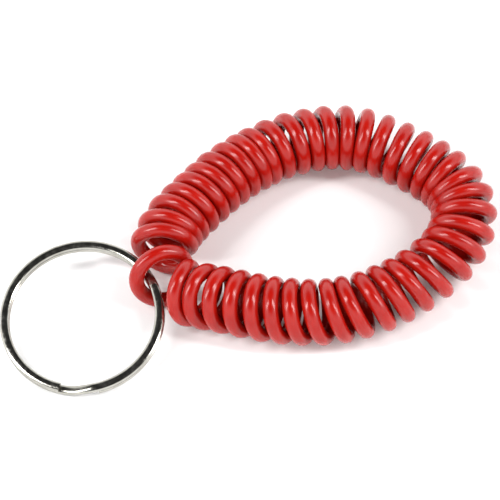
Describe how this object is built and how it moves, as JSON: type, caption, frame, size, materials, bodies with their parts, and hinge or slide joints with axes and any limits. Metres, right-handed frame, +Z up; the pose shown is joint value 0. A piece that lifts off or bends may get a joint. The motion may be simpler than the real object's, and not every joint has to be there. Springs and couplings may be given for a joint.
{
  "type": "wrist coil key ring",
  "caption": "Springy plastic cord wound into a closed wrist coil, with a steel split ring linked through one open turn.",
  "frame": {"origin": "under the middle of the whole object, on the surface that it lies on", "axes": "+X along the loop's longer way, from the split ring to the loop's wide end; +Z up"},
  "size_m": [0.098, 0.0623, 0.0132],
  "materials": {
    "red_plastic": "glossy, slightly translucent coloured plastic cord",
    "nickel": "bright nickel plate on spring steel wire"
  },
  "bodies": {
    "link_end": {"coil_link_end": "red_plastic"},
    "front_1": {"coil_front_1": "red_plastic"},
    "front_2": {"coil_front_2": "red_plastic"},
    "front_3": {"coil_front_3": "red_plastic"},
    "rear_1": {"coil_rear_1": "red_plastic"},
    "rear_2": {"coil_rear_2": "red_plastic"},
    "rear_3": {"coil_rear_3": "red_plastic"},
    "far_end": {"coil_far_end": "red_plastic"},
    "ring": {"split_ring": "nickel"},
    "ring_tip": {"ring_free_end": "nickel"}
  },
  "joints": [
    {"name": "coil_stretch", "type": "slide", "parent": "link_end", "child": "far_end", "axis": [1, 0, 0], "range_m": [0, 0.04], "stiffness_N_per_m": 60},
    {"name": "front_1_shift", "type": "slide", "parent": "link_end", "child": "front_1", "axis": [1, 0, 0], "range_m": [0, 0.0103]},
    {"name": "front_2_shift", "type": "slide", "parent": "link_end", "child": "front_2", "axis": [1, 0, 0], "range_m": [0, 0.0217]},
    {"name": "front_3_shift", "type": "slide", "parent": "link_end", "child": "front_3", "axis": [1, 0, 0], "range_m": [0, 0.0326]},
    {"name": "rear_1_shift", "type": "slide", "parent": "link_end", "child": "rear_1", "axis": [1, 0, 0], "range_m": [0, 0.0103]},
    {"name": "rear_2_shift", "type": "slide", "parent": "link_end", "child": "rear_2", "axis": [1, 0, 0], "range_m": [0, 0.0217]},
    {"name": "rear_3_shift", "type": "slide", "parent": "link_end", "child": "rear_3", "axis": [1, 0, 0], "range_m": [0, 0.0326]},
    {"name": "ring_swing", "type": "hinge", "parent": "link_end", "child": "ring", "pos_m": [-0.01812, -0.01224, 0.00541], "axis": [-0.2287, 0.9601, 0.1608], "range_deg": [-38, 60]},
    {"name": "ring_prise", "type": "hinge", "parent": "ring", "child": "ring_tip", "pos_m": [-0.04788, -0.01552, 0.00414], "axis": [-0.9984, 0.01, -0.0552], "range_deg": [0, 10], "stiffness_Nm_per_rad": 0.2}
  ],
  "couplings": [
    {"joint": "front_1_shift", "follows": "coil_stretch", "ratio": 0.252},
    {"joint": "front_2_shift", "follows": "coil_stretch", "ratio": 0.537},
    {"joint": "front_3_shift", "follows": "coil_stretch", "ratio": 0.81},
    {"joint": "rear_1_shift", "follows": "coil_stretch", "ratio": 0.252},
    {"joint": "rear_2_shift", "follows": "coil_stretch", "ratio": 0.537},
    {"joint": "rear_3_shift", "follows": "coil_stretch", "ratio": 0.81}
  ]
}
